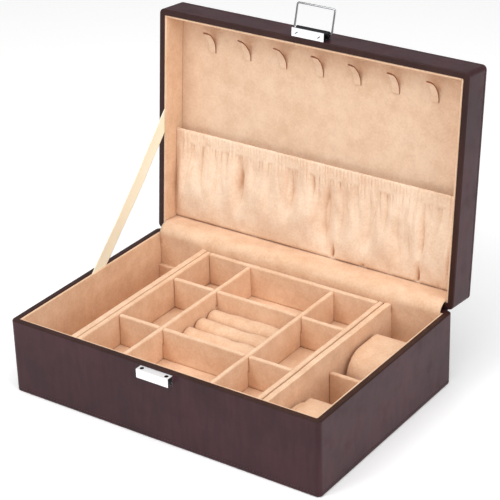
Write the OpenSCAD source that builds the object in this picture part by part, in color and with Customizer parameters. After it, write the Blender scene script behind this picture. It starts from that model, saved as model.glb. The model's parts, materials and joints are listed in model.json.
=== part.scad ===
// Leather-covered jewellery case: a board box with a hinged lid, a lift-out tray, watch pillows and a wire clasp.
// Origin: centre of the underside. +X runs along the width, the clasp faces -Y, +Z is up.
// The lid is drawn shut in its own frame, with the hinge line at its origin, and then turned open.

/* [Case] */
// Outside width
case_w = 290; // [270:1:300]
// Outside depth
case_d = 195; // [185:1:205]
// Height of the base up to the middle of the rim gap
base_h = 65; // [62:1:80]
// Height of the lid above the middle of the rim gap
lid_h = 29; // [27:1:35]
// Angle that the lid stands open, from shut
lid_open_angle = 95; // [92:1:98]
// Radius of the upright corners
corner_r = 4; // [2:0.5:6]
// Gap between the two rims when shut
rim_gap = 0.5; // [0.3:0.1:1]

/* [Walls] */
// Thickness of the leather
leather_t = 1; // [0.8:0.1:1.2]
// Thickness of the wall boards
board_t = 4; // [3:0.5:5]
// Thickness of the lined boards
lining_t = 2; // [1.5:0.5:2.5]
// Thickness of the base's bottom board
bottom_board_t = 3; // [2:0.5:4]
// Thickness of the lid's top board
top_board_t = 2.5; // [2:0.5:3]

/* [Compartments] */
// Thickness of the fixed partitions and of the tray's walls
partition_t = 5; // [4:0.5:6]
// Left face of the left partition
left_partition_x = -92.5; // [-96:0.5:-88]
// Left face of the right partition
right_partition_x = 88.5; // [86:0.5:92]
// Height of the partitions and of the tray's rim
partition_top = 60.5; // [58:0.5:61]
// Height of the rails that carry the tray
ledge_top = 29.2; // [26:0.1:33]
// Height of the rails' raised ends in the left compartment
raised_end_top = 35; // [33:0.5:40]
// Thickness of the rails
ledge_t = 4; // [3:0.5:5]
// Height of the low divider between the two watch cells
watch_divider_top = 43.5; // [40:0.5:50]
// Thickness of the low divider
watch_divider_t = 4; // [3:0.5:5]
// Place of the low divider, front to back
watch_divider_y = -1.5; // [-6:0.5:4]

/* [Tray] */
// Thickness of the tray's floor
tray_floor_t = 2.5; // [2:0.5:3]
// Thickness of the dividers
divider_t = 4; // [3:0.5:4.5]
// Depth of the divider tops below the tray's rim
divider_drop = 1; // [0.5:0.5:2]
// Distance of the row dividers from the tray's middle
row_divider_y = 36.7; // [32:0.1:42]
// Distance of the column dividers from the tray's middle
column_divider_x = 41; // [36:0.5:46]
// Number of padded ring rolls
roll_count = 4; // [3:1:4]
// Radius of a ring roll
roll_r = 8.2; // [7:0.1:8.4]

/* [Watch pillows] */
// Width of a pillow
pillow_w = 40.5; // [38:0.5:42]
// Depth and height of the front pillow
front_pillow = [55, 34.7]; // [50:0.1:60]
// Depth and height of the rear pillow
rear_pillow = [52, 43.7]; // [48:0.1:56]
// Front face of the front pillow
front_pillow_y = -85.5; // [-86:0.5:-84]
// Front face of the rear pillow
rear_pillow_y = 13.5; // [6:0.5:20]
// Radius of a pillow's long edges
pillow_r = 13; // [8:0.5:15]

/* [Lid fittings] */
// Height of the pocket above the hinge when the lid stands open
pocket_reach = 88; // [80:1:95]
// Room between the pocket and the lid's panel
pocket_room = 7; // [6:0.5:8]
// Thickness of the pocket's fabric, gathered
pocket_t = 1.2; // [1:0.1:1.5]
// Number of necklace hooks
hook_count = 7; // [3:1:7]
// Distance between hooks
hook_pitch = 35.3; // [30:0.1:38]
// Place of the middle hook
hook_mid_x = -0.9; // [-3:0.1:3]
// Distance from the hinge to where the hooks leave the panel
hook_foot = 160; // [150:1:162]
// Width of a hook
hook_w = 6.5; // [5:0.5:8]
// Radius that a hook curls on
hook_curl_r = 22; // [18:1:26]

/* [Clasp] */
// Width of the latch housing and of the catch
clasp_w = 30; // [26:1:34]
// Radius of the bail's wire
wire_r = 0.8; // [0.7:0.1:1]
// Radial clearance of the wire in the housing's barrel
wire_clearance = 0.06; // [0.03:0.01:0.1]
// Distance from the barrel to the far bar of the bail
bail_reach = 20; // [20:0.1:20.2]
// Distance of the barrel from the lid's front face
barrel_out = 4.8; // [4.8:0.1:5]
// Height of the barrel above the rim
barrel_up = 9; // [9:0.1:9.2]
// Distance between the bail's legs
bail_w = 35; // [33:0.5:38]
// Angle that the open bail leans back from square to the lid's front
bail_lean = 11; // [0:1:15]

/* [Stay and hinge] */
// Width of the ribbon
ribbon_w = 13; // [10:0.5:16]
// Thickness of the ribbon
ribbon_t = 0.4; // [0.3:0.05:0.45]
// Place of the ribbon on the base rim, front to back
ribbon_base_y = 9.4; // [0:0.1:20]
// Distance of the ribbon from the hinge on the lid rim
ribbon_lid_reach = 97; // [90:1:104]

/* [Hidden] */
$fn = 48;

// Colours
leather = "#4a3638";
suede = "#e0ae86";
board = "#b79b76";
satin = "#fdf5c8";
foam_backing = "#2b2324";
chrome = "#e8eaec";

// Small amount by which a cutting shape passes the face that it cuts
cut = 1;
half_w = case_w / 2;
half_d = case_d / 2;
wall_t = leather_t + board_t;

// Plan sizes of the shells, from the outside in
board_w = case_w - 2 * leather_t;
board_d = case_d - 2 * leather_t;
board_r = corner_r - leather_t;
cavity_w = case_w - 2 * wall_t;
cavity_d = case_d - 2 * wall_t;
inner_w = cavity_w - 2 * lining_t;
inner_d = cavity_d - 2 * lining_t;

// Heights in the base
sheet_t = 1;
rim_z = base_h - rim_gap / 2;
floor_board_z = sheet_t + bottom_board_t;
floor_z = floor_board_z + lining_t;
lining_drop = 0.7;
base_lining_top = rim_z - lining_drop;

// Heights in the lid, measured from the hinge line towards the top panel
lid_rim = rim_gap / 2;
lid_board_top = lid_h - leather_t;
panel_t = 1.5;
panel_back = lid_board_top - top_board_t;
panel_face = panel_back - panel_t;
lid_lining_rim = lid_rim + lining_drop;

// Tray
tray_left = left_partition_x + partition_t + 0.3;
tray_right = right_partition_x - 1.7;
tray_mid = (tray_left + tray_right) / 2;
tray_w = tray_right - tray_left;
tray_d = inner_d - 2;
tray_lift_gap = 0.3;
tray_z = ledge_top + tray_lift_gap;
tray_wall_z = tray_z + tray_floor_t;
tray_wall_t = partition_t - 0.5;
tray_inner_w = tray_w - 2 * tray_wall_t;
tray_inner_d = tray_d - 2 * tray_wall_t;
divider_top = partition_top - divider_drop;
lap_z = (tray_wall_z + divider_top) / 2;
roll_pitch = (2 * row_divider_y - divider_t) / roll_count;

// Clasp
clasp_sheet_t = 1;
barrel_r = 2.2;
housing_top = barrel_up + barrel_r;
housing_bottom = 1;
housing_out = barrel_out + barrel_r;
rivet_r = 1.2;
rivet_head_r = 2.2;
rivet_x = 9;
rivet_up = 5;
catch_top = base_h - 1.7;
catch_bottom = base_h - 9.7;
catch_out = 6.3;
catch_lip_r = 0.9;
catch_hole_r = 1.7;
catch_hole_x = 11.5;
catch_rivet_z = base_h - 6.5;

// Ribbon: a straight band between its two rim crossings, carried on a little behind each lining
ribbon_tuck = 12;
ribbon_lid_y = half_d - ribbon_lid_reach * cos(lid_open_angle);
ribbon_lid_z = base_h + ribbon_lid_reach * sin(lid_open_angle);
ribbon_rise = ribbon_lid_z - base_h;
ribbon_run = ribbon_lid_y - ribbon_base_y;
ribbon_slope = atan2(ribbon_rise, ribbon_run);
ribbon_free = norm([ribbon_run, ribbon_rise]);
ribbon_slot_t = ribbon_t + 0.1;

// Strips that cross the hinge
strip_t = 0.6;
inner_strip_t = 0.5;
strip_flap = 12;
strip_gap = 0.3;
strip_clearance = 0.1;

// A block with rounded upright corners, centred in plan
module rounded_block(w, d, z0, z1, r) {
    translate([-w / 2 + r, -d / 2, z0]) cube([w - 2 * r, d, z1 - z0]);
    translate([-w / 2, -d / 2 + r, z0]) cube([w, d - 2 * r, z1 - z0]);
    for (x = [-1, 1], y = [-1, 1])
        translate([x * (w / 2 - r), y * (d / 2 - r), z0]) cylinder(r = r, h = z1 - z0);
}

// A block given by its low and high corners
module box(low, high) {
    translate(low) cube(high - low);
}

// A plain block centred in plan
module centred_block(w, d, z0, z1) {
    box([-w / 2, -d / 2, z0], [w / 2, d / 2, z1]);
}

// Turns a part that is drawn shut, with the hinge line at its origin, to the open lid's place
module on_lid() {
    translate([0, half_d, base_h]) rotate([-lid_open_angle, 0, 0]) children();
}

// Moves a shape drawn about the shell's middle to the lid's own frame
module about_lid_middle() {
    translate([0, -half_d, 0]) children();
}

// Profile drawn in the plane across the case (first axis front to back, second axis up), made w wide
module across(x0, w) {
    translate([x0, 0, 0]) rotate([90, 0, 90]) linear_extrude(w) children();
}

// ---- Shells: one wall board of the four that stand round a cavity ----
module front_back_board(side, z0, z1) {
    intersection() {
        rounded_block(board_w, board_d, z0, z1, board_r);
        box([-half_w, side < 0 ? -half_d : cavity_d / 2, z0 - cut],
            [half_w, side < 0 ? -cavity_d / 2 : half_d, z1 + cut]);
    }
}

module side_board(side, z0, z1) {
    box([side < 0 ? -board_w / 2 : cavity_w / 2, -cavity_d / 2, z0],
        [side < 0 ? -cavity_w / 2 : board_w / 2, cavity_d / 2, z1]);
}

module front_back_lining(side, z0, z1) {
    box([-inner_w / 2, side < 0 ? -cavity_d / 2 : inner_d / 2, z0],
        [inner_w / 2, side < 0 ? -inner_d / 2 : cavity_d / 2, z1]);
}

module side_lining(side, z0, z1) {
    box([side < 0 ? -cavity_w / 2 : inner_w / 2, -cavity_d / 2, z0],
        [side < 0 ? -inner_w / 2 : cavity_w / 2, cavity_d / 2, z1]);
}

// Holes for the clasp's rivets, along Y
module rivet_holes(z, y0, y1) {
    for (x = [-rivet_x, rivet_x])
        translate([x, y0, z]) rotate([-90, 0, 0]) cylinder(r = rivet_r, h = y1 - y0);
}

// ---- Base ----
module base_front_board() {
    color(board) difference() {
        front_back_board(-1, floor_board_z, rim_z - leather_t);
        rivet_holes(catch_rivet_z, -half_d - cut, -cavity_d / 2 + cut);
    }
}

module base_back_board() {
    color(board) front_back_board(1, floor_board_z, rim_z - leather_t);
}

module base_left_board() {
    color(board) side_board(-1, floor_board_z, rim_z - leather_t);
}

module base_right_board() {
    color(board) side_board(1, floor_board_z, rim_z - leather_t);
}

module base_bottom_board() {
    color(board) rounded_block(board_w, board_d, sheet_t, floor_board_z, board_r);
}

module base_leather_cover() {
    color(leather) difference() {
        rounded_block(case_w, case_d, sheet_t, rim_z, corner_r);
        rounded_block(board_w, board_d, sheet_t - cut, rim_z - leather_t, board_r);
        centred_block(cavity_w, cavity_d, sheet_t, rim_z + cut);
        rivet_holes(catch_rivet_z, -half_d - cut, -cavity_d / 2 + cut);
    }
}

module base_underside_sheet() {
    color(foam_backing) rounded_block(case_w, case_d, 0, sheet_t, corner_r);
}

module base_lining_front() {
    color(suede) front_back_lining(-1, floor_z, base_lining_top);
}

module base_lining_back() {
    color(suede) front_back_lining(1, floor_z, base_lining_top);
}

module base_lining_left() {
    color(suede) difference() {
        side_lining(-1, floor_z, base_lining_top);
        ribbon_slot();
    }
}

module base_lining_right() {
    color(suede) side_lining(1, floor_z, base_lining_top);
}

module base_lining_floor() {
    color(suede) centred_block(cavity_w, cavity_d, floor_board_z, floor_z);
}

// Rail along the front or the back, raised where it passes through the left compartment
module ledge(side) {
    outer_y = side * inner_d / 2;
    rail_y = outer_y - side * ledge_t;
    low_y = min(outer_y, rail_y);
    high_y = max(outer_y, rail_y);
    color(suede) {
        box([-inner_w / 2, low_y, floor_z], [inner_w / 2, high_y, ledge_top]);
        box([-inner_w / 2, low_y, floor_z], [left_partition_x, high_y, raised_end_top]);
    }
}

// Partition notched at both feet to sit over the rails, and at the back to clear the hinge's inner strip
module partition(x) {
    color(suede) difference() {
        box([x, -inner_d / 2, floor_z], [x + partition_t, inner_d / 2, partition_top]);
        for (side = [-1, 1])
            translate([x - cut, side * inner_d / 2 - ledge_t, floor_z - cut])
                cube([partition_t + 2 * cut, 2 * ledge_t, ledge_top - floor_z + cut]);
        translate([x - cut, inner_d / 2 - inner_strip_t - strip_clearance, base_h - strip_flap - strip_clearance])
            cube([partition_t + 2 * cut, inner_strip_t + cut, strip_flap]);
    }
}

module watch_divider() {
    color(suede) box([right_partition_x + partition_t, watch_divider_y - watch_divider_t / 2, floor_z],
                     [inner_w / 2, watch_divider_y + watch_divider_t / 2, watch_divider_top]);
}

// Folded sheet: back flange, top plate, front plate and a rolled lip along its bottom edge
module base_catch() {
    face = -half_d;
    color(chrome) difference() {
        union() {
            box([-clasp_w / 2, face - clasp_sheet_t, catch_bottom], [clasp_w / 2, face, catch_top]);
            box([-clasp_w / 2, face - catch_out, catch_top - clasp_sheet_t], [clasp_w / 2, face, catch_top]);
            box([-clasp_w / 2, face - catch_out, catch_bottom + catch_lip_r],
                [clasp_w / 2, face - catch_out + clasp_sheet_t, catch_top]);
            translate([-clasp_w / 2, face - catch_out + catch_lip_r, catch_bottom + catch_lip_r])
                rotate([0, 90, 0]) cylinder(r = catch_lip_r, h = clasp_w);
        }
        rivet_holes(catch_rivet_z, face - clasp_sheet_t - cut, face + cut);
        for (x = [-catch_hole_x, catch_hole_x])
            translate([x, face - catch_out / 2, catch_top - clasp_sheet_t - cut])
                cylinder(r = catch_hole_r, h = clasp_sheet_t + 2 * cut);
    }
}

// A pair of rivets whose heads lie on a face at y, pointing towards -Y
module rivet_pair(y, z, shank) {
    color(chrome) for (x = [-rivet_x, rivet_x]) translate([x, y, z]) rotate([90, 0, 0]) {
        translate([0, 0, -shank]) cylinder(r = rivet_r, h = shank + 0.4);
        cylinder(r = rivet_head_r, h = 0.8);
    }
}

module catch_rivets() {
    rivet_pair(-half_d - clasp_sheet_t, catch_rivet_z, clasp_sheet_t + wall_t - 0.5);
}

// ---- Lid ----
module lid_front_board() {
    color(board) on_lid() about_lid_middle() difference() {
        front_back_board(-1, lid_rim + leather_t, panel_back);
        rivet_holes(rivet_up, -half_d - cut, -cavity_d / 2 + cut);
    }
}

module lid_back_board() {
    color(board) on_lid() about_lid_middle() front_back_board(1, lid_rim + leather_t, panel_back);
}

module lid_side_board(side) {
    color(board) on_lid() about_lid_middle() side_board(side, lid_rim + leather_t, panel_back);
}

module lid_top_board() {
    color(board) on_lid() about_lid_middle()
        rounded_block(board_w, board_d, panel_back, lid_board_top, board_r);
}

module lid_leather_cover() {
    color(leather) on_lid() about_lid_middle() difference() {
        rounded_block(case_w, case_d, lid_rim, lid_h, corner_r);
        rounded_block(board_w, board_d, lid_rim + leather_t, lid_board_top, board_r);
        centred_block(cavity_w, cavity_d, lid_rim - cut, lid_board_top - cut);
        rivet_holes(rivet_up, -half_d - cut, -cavity_d / 2 + cut);
    }
}

module lid_panel() {
    color(suede) on_lid() about_lid_middle() centred_block(cavity_w, cavity_d, panel_face, panel_back);
}

module lid_front_back_lining(side) {
    color(suede) on_lid() about_lid_middle() front_back_lining(side, lid_lining_rim, panel_face);
}

module lid_lining_left() {
    color(suede) difference() {
        on_lid() about_lid_middle() side_lining(-1, lid_lining_rim, panel_face);
        ribbon_slot();
    }
}

module lid_lining_right() {
    color(suede) on_lid() about_lid_middle() side_lining(1, lid_lining_rim, panel_face);
}

// Pocket: a flat sheet across the lid with a hollow hem that holds the elastic
pocket_out = panel_face - pocket_room - pocket_t;
hem_t = 2.4;
hem_h = 6;
elastic_t = 0.8;
elastic_h = 4;
pocket_side_gap = 0.2;
pocket_w = inner_w - 2 * pocket_side_gap;
pocket_foot = wall_t + lining_t + 0.2;

module pocket() {
    color(suede) on_lid() difference() {
        union() {
            box([-pocket_w / 2, -pocket_reach, pocket_out], [pocket_w / 2, -pocket_foot, pocket_out + pocket_t]);
            box([-pocket_w / 2, -pocket_reach, pocket_out], [pocket_w / 2, -pocket_reach + hem_h, pocket_out + hem_t]);
        }
        elastic_space(0);
    }
}

module elastic_space(inset) {
    mid_y = -pocket_reach + hem_h / 2;
    mid_z = pocket_out + hem_t / 2;
    end = pocket_w / 2 - 1 - inset;
    box([-end, mid_y - elastic_h / 2, mid_z - elastic_t / 2], [end, mid_y + elastic_h / 2, mid_z + elastic_t / 2]);
}

module pocket_elastic() {
    color(satin) on_lid() elastic_space(0.5);
}

// Hook: a strip that leaves the panel at its foot and curls away from it towards its free end
hook_t = 1.2;
hook_rise = 18;
hook_foot_l = 1.5;

module hook(i) {
    x = hook_mid_x + (i - (hook_count + 1) / 2) * hook_pitch;
    color(suede) on_lid() {
        box([x - hook_w / 2, -hook_foot - 0.5, panel_face - hook_t],
            [x + hook_w / 2, -hook_foot + hook_foot_l, panel_face]);
        intersection() {
            across(x - hook_w / 2, hook_w) translate([-hook_foot, panel_face - hook_curl_r - hook_t])
                difference() {
                    circle(r = hook_curl_r + hook_t, $fn = 96);
                    circle(r = hook_curl_r, $fn = 96);
                }
            box([x - hook_w, -hook_foot - hook_rise, panel_face - hook_curl_r],
                [x + hook_w, -hook_foot, panel_face + cut]);
        }
    }
}

// Housing: flange on the lid's front, a rim-side face, and a rolled barrel that holds the bail
module latch_housing() {
    face = -case_d;
    color(chrome) on_lid() difference() {
        union() {
            box([-clasp_w / 2, face - clasp_sheet_t, housing_bottom], [clasp_w / 2, face, housing_top]);
            box([-clasp_w / 2, face - housing_out, housing_bottom],
                [clasp_w / 2, face, housing_bottom + clasp_sheet_t]);
            box([-clasp_w / 2, face - barrel_out, housing_top - clasp_sheet_t], [clasp_w / 2, face, housing_top]);
            barrel(barrel_r);
        }
        barrel(wire_r + wire_clearance, cut);
        rivet_holes(rivet_up, face - clasp_sheet_t - cut, face + cut);
    }
}

module barrel(r, extra = 0) {
    translate([-clasp_w / 2 - extra, -case_d - barrel_out, barrel_up])
        rotate([0, 90, 0]) cylinder(r = r, h = clasp_w + 2 * extra);
}

module latch_rivets() {
    on_lid() rivet_pair(-case_d - clasp_sheet_t, rivet_up, clasp_sheet_t + wall_t - 0.5);
}

// Bail: a rectangular wire loop whose near bar turns in the barrel
module latch_bail() {
    color(chrome) on_lid() translate([0, -case_d - barrel_out, barrel_up]) rotate([-bail_lean, 0, 0]) {
        for (y = [0, -bail_reach])
            translate([-bail_w / 2, y, 0]) rotate([0, 90, 0]) cylinder(r = wire_r, h = bail_w);
        for (x = [-bail_w / 2, bail_w / 2]) {
            translate([x, 0, 0]) rotate([90, 0, 0]) cylinder(r = wire_r, h = bail_reach);
            for (y = [0, -bail_reach])
                translate([x, y, 0]) sphere(r = wire_r);
        }
    }
}

// ---- Tray ----
module tray_floor() {
    color(suede) translate([tray_mid, 0, 0]) centred_block(tray_w, tray_d, tray_z, tray_wall_z);
}

module tray_front_back_wall(side) {
    color(suede) translate([tray_mid, 0, 0])
        box([-tray_inner_w / 2, side < 0 ? -tray_d / 2 : tray_inner_d / 2, tray_wall_z],
            [tray_inner_w / 2, side < 0 ? -tray_inner_d / 2 : tray_d / 2, partition_top]);
}

module tray_side_wall(side) {
    color(suede) translate([tray_mid, 0, 0])
        box([side < 0 ? -tray_w / 2 : tray_inner_w / 2, -tray_d / 2, tray_wall_z],
            [side < 0 ? -tray_inner_w / 2 : tray_w / 2, tray_d / 2, partition_top]);
}

// Row dividers are slotted from above and column dividers from below, so that they lap
module tray_row_divider(side) {
    color(suede) translate([tray_mid, side * row_divider_y, 0]) difference() {
        centred_block(tray_inner_w, divider_t, tray_wall_z, divider_top);
        for (x = [-column_divider_x, column_divider_x])
            translate([x, 0, 0]) centred_block(divider_t, divider_t + 2 * cut, lap_z, divider_top + cut);
    }
}

module tray_column_divider(side) {
    color(suede) translate([tray_mid + side * column_divider_x, 0, 0]) difference() {
        centred_block(divider_t, tray_inner_d, tray_wall_z, divider_top);
        for (y = [-row_divider_y, row_divider_y])
            translate([0, y, 0]) centred_block(divider_t + 2 * cut, divider_t, tray_wall_z - cut, lap_z);
    }
}

module ring_roll(i) {
    length = 2 * column_divider_x - divider_t - 0.6;
    y = (i - (roll_count + 1) / 2) * roll_pitch;
    color(suede) translate([tray_mid - length / 2, y, tray_wall_z + roll_r + 0.1])
        rotate([0, 90, 0]) cylinder(r = roll_r, h = length);
}

// ---- Watch pillows: blocks with rounded long edges ----
module pillow(y, size) {
    x = right_partition_x + partition_t + (inner_w / 2 - right_partition_x - partition_t - pillow_w) / 2;
    depth = size[0];
    height = size[1];
    color(suede) translate([x, y, floor_z + 0.3]) {
        translate([0, pillow_r, 0]) cube([pillow_w, depth - 2 * pillow_r, height]);
        translate([0, 0, pillow_r]) cube([pillow_w, depth, height - 2 * pillow_r]);
        for (py = [pillow_r, depth - pillow_r], pz = [pillow_r, height - pillow_r])
            translate([0, py, pz]) rotate([0, 90, 0]) cylinder(r = pillow_r, h = pillow_w);
    }
}

// ---- Fabric that crosses the hinge ----
// The ribbon's band, seen from the side, from tuck behind the base lining to tuck behind the lid lining
module ribbon_band(w, t, tuck) {
    translate([-cavity_w / 2, ribbon_base_y, base_h]) rotate([ribbon_slope, 0, 0])
        translate([0, -tuck, -w / 2]) cube([t, ribbon_free + 2 * tuck, w]);
}

module ribbon_slot() {
    translate([-cut, 0, 0]) ribbon_band(ribbon_w + 0.6, ribbon_slot_t + cut, ribbon_tuck + 0.5);
}

module stay_ribbon() {
    color(satin) translate([0.05, 0, 0]) ribbon_band(ribbon_w, ribbon_t, ribbon_tuck);
}

// Outer strip, down the back of the base and out under the back of the open lid
module hinge_leather() {
    fall = strip_flap / tan(lid_open_angle);
    color(leather) across(-cavity_w / 2, cavity_w) polygon([
        [half_d, base_h - strip_flap],
        [half_d + strip_t, base_h - strip_flap],
        [half_d + strip_t, base_h - strip_t - strip_gap - 0.1],
        [half_d + strip_flap, base_h - strip_t - strip_gap + fall],
        [half_d + strip_flap, base_h - strip_gap + fall],
        [half_d, base_h - strip_gap]]);
}

// Inner strip, up the back of the base, slantwise over the hinge and along the back of the lid
module hinge_lining() {
    t = inner_strip_t;
    fold_y = inner_d / 2 - t;
    lid_y = half_d + lid_lining_rim;
    lid_z = base_h + wall_t + lining_t + 1;
    fall = strip_flap / tan(lid_open_angle);
    color(suede) across(-inner_w / 2 + 0.3, inner_w - 0.6) polygon([
        [fold_y, base_h - strip_flap],
        [inner_d / 2, base_h - strip_flap],
        [inner_d / 2, base_h],
        [lid_y, lid_z - t],
        [lid_y + strip_flap, lid_z - t + fall],
        [lid_y + strip_flap, lid_z + fall],
        [lid_y, lid_z + 0.2],
        [fold_y, base_h + 0.2]]);
}

base_front_board();
base_back_board();
base_left_board();
base_right_board();
base_bottom_board();
base_leather_cover();
base_underside_sheet();
base_lining_front();
base_lining_back();
base_lining_left();
base_lining_right();
base_lining_floor();
ledge(-1);  // front_ledge
ledge(1);  // rear_ledge
partition(left_partition_x);  // left_partition
partition(right_partition_x);  // right_partition
watch_divider();
base_catch();
catch_rivets();
lid_top_board();
lid_front_board();
lid_back_board();
lid_side_board(-1);  // lid_left_board
lid_side_board(1);  // lid_right_board
lid_leather_cover();
lid_panel();
lid_front_back_lining(-1);  // lid_lining_front
lid_front_back_lining(1);  // lid_lining_back
lid_lining_left();
lid_lining_right();
pocket();
pocket_elastic();
for (i = [1:hook_count])
    hook(i);
latch_housing();
latch_rivets();
latch_bail();
tray_floor();
tray_front_back_wall(-1);  // tray_front_wall
tray_front_back_wall(1);  // tray_back_wall
tray_side_wall(-1);  // tray_left_wall
tray_side_wall(1);  // tray_right_wall
tray_row_divider(-1);  // tray_row_divider_front
tray_row_divider(1);  // tray_row_divider_back
tray_column_divider(-1);  // tray_column_divider_left
tray_column_divider(1);  // tray_column_divider_right
for (i = [1:roll_count])
    ring_roll(i);
pillow(front_pillow_y, front_pillow);  // watch_pillow_front
pillow(rear_pillow_y, rear_pillow);  // watch_pillow_rear
stay_ribbon();
hinge_leather();
hinge_lining();
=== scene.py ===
"""The looks of a leather jewellery case: stitched leather shells, velour-lined boards, a gathered pocket,
padded rolls and pillows, a satin stay and a chrome clasp. Sizes are in metres. The lid's pieces are
modelled shut, with the hinge line at the origin, and then turned open to their place."""
import json
import math
import random

import bmesh
import bpy
from mathutils import Matrix, Vector, noise


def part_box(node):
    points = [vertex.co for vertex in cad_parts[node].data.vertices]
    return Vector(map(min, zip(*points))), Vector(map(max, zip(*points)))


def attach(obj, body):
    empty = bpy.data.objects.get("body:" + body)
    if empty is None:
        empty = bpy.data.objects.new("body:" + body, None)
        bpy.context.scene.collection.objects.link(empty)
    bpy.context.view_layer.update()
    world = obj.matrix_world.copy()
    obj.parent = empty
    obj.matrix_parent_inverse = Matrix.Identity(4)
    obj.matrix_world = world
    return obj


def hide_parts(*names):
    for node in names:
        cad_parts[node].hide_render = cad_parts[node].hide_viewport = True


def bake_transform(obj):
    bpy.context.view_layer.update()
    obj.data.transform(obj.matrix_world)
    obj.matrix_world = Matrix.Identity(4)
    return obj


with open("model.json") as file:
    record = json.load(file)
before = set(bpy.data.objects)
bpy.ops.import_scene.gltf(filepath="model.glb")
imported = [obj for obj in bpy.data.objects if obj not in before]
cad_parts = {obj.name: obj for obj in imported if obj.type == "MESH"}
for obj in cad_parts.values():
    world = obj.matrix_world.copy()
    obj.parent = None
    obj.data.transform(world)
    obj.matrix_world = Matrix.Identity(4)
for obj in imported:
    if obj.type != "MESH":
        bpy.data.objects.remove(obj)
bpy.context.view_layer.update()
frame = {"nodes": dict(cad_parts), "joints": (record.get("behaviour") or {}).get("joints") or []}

MM = 0.001
WALL = 5 * MM  # leather and board together
LEATHER = 1 * MM
SHARP = math.radians(50)


# ---- Where things are ----
def joint(name):
    return next(j for j in frame["joints"] if j["name"] == name)


hinge = joint("lid_hinge")
hinge_line = Vector(hinge["pos_m"])
open_angle = math.radians(-hinge["range_deg"][0])
LID_OPEN = Matrix.Translation(hinge_line) @ Matrix.Rotation(-open_angle, 4, "X")
LID_SHUT = LID_OPEN.inverted()


def shut_box(node, shut=LID_SHUT):
    """Lowest and highest corner of a lid part, with the lid shut and the hinge line at the origin."""
    corners = [shut @ vertex.co for vertex in frame["nodes"][node].data.vertices]
    return Vector(map(min, *corners)), Vector(map(max, *corners))


def smoothstep(start, end, value):
    share = min(1, max(0, (value - start) / (end - start)))
    return share * share * (3 - 2 * share)


# ---- Bench work: choosing, shaping and finishing a piece ----
def deselect():
    if bpy.context.mode != "OBJECT":
        bpy.ops.object.mode_set(mode="OBJECT")
    bpy.ops.object.select_all(action="DESELECT")


def pick(piece):
    deselect()
    piece.select_set(True)
    bpy.context.view_layer.objects.active = piece


def start_shaping(piece):
    pick(piece)
    bpy.ops.object.mode_set(mode="EDIT")
    bpy.ops.mesh.select_all(action="SELECT")


def stop_shaping():
    bpy.ops.object.mode_set(mode="OBJECT")


def choose(piece, kind, test):
    """In edit mode, selects the parts of a kind, FACE or EDGE, that pass the test."""
    bpy.ops.mesh.select_mode(type=kind)
    bpy.ops.mesh.select_all(action="DESELECT")
    mesh = bmesh.from_edit_mesh(piece.data)
    for part in mesh.faces if kind == "FACE" else mesh.edges:
        part.select_set(test(part))
    bmesh.update_edit_mesh(piece.data)


def choose_faces(piece, test):
    """Selects the faces whose middle and normal pass the test."""
    choose(piece, "FACE", lambda face: test(face.calc_center_median(), face.normal))


def choose_edges(piece, test):
    """Selects the edges whose two ends pass the test."""
    choose(piece, "EDGE", lambda edge: test(edge.verts[0].co, edge.verts[1].co))


def choose_sharp_edges(piece):
    choose(piece, "EDGE", lambda edge: len(edge.link_faces) == 2 and edge.calc_face_angle() > SHARP)


def cut_through(place, way):
    """Cuts the whole piece in edit mode by a plane, and keeps both sides."""
    bpy.ops.mesh.select_all(action="SELECT")
    bpy.ops.mesh.bisect(plane_co=place, plane_no=way)


def block(name, low, high):
    """A box from corner to corner, as the start of a piece."""
    deselect()
    bpy.ops.mesh.primitive_cube_add(size=1, location=(low + high) / 2, scale=high - low)
    piece = bpy.context.object
    piece.name = name
    settle_place()
    return piece


def settle_place():
    """Puts the active piece's place, turn and size into its mesh."""
    bpy.ops.object.transform_apply(location=True, rotation=True, scale=True)


def new_piece(name, mesh):
    piece = bpy.data.objects.new(name, mesh)
    bpy.context.scene.collection.objects.link(piece)
    return piece


def apply_modifier(piece, kind, **settings):
    pick(piece)
    modifier = piece.modifiers.new(kind.title(), kind)
    for setting, value in settings.items():
        setattr(modifier, setting, value)
    bpy.ops.object.modifier_apply(modifier=modifier.name)


def smooth(piece, angle=40):
    pick(piece)
    bpy.ops.object.shade_smooth_by_angle(angle=math.radians(angle))


def settle_shading(piece):
    """Smooth edges beside faces that still look flat."""
    smooth(piece)
    apply_modifier(piece, "WEIGHTED_NORMAL", weight=80, keep_sharp=True)


def rounded_copy(node, name, round_off, segments=3):
    """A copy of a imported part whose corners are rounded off, as wrapped cloth or folded sheet has them."""
    piece = new_piece(name, frame["nodes"][node].data.copy())
    piece.data.materials.clear()
    start_shaping(piece)
    bpy.ops.mesh.customdata_custom_splitnormals_clear()
    bpy.ops.mesh.remove_doubles(threshold=1e-6)
    bpy.ops.mesh.dissolve_limited(angle_limit=math.radians(1))
    choose_sharp_edges(piece)
    bpy.ops.mesh.bevel(offset=round_off, segments=segments, clamp_overlap=True)
    stop_shaping()
    settle_shading(piece)
    return piece


def join(name, pieces):
    pick(pieces[0])
    for piece in pieces:
        piece.select_set(True)
    bpy.ops.object.join()
    pieces[0].name = name
    return pieces[0]


def fit(piece, body, slot, nodes=(), finish=None):
    """Gives a shaped piece its finish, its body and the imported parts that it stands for."""
    if not piece.data.materials:
        piece.data.materials.append(finish or FINISHES[slot])
    if body:
        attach(piece, body)
    if nodes:
        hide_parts(*nodes)
    return piece


# ---- Materials ----
class Value:
    """A socket's number, so that shader maths reads as Python."""

    def __init__(self, finish, socket):
        self.finish = finish
        self.socket = socket

    def maths(self, operation, *numbers):
        return self.finish.maths(operation, *numbers)

    def __add__(self, other):
        return self.maths("ADD", self, other)

    __radd__ = __add__

    def __mul__(self, other):
        return self.maths("MULTIPLY", self, other)

    __rmul__ = __mul__


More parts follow.
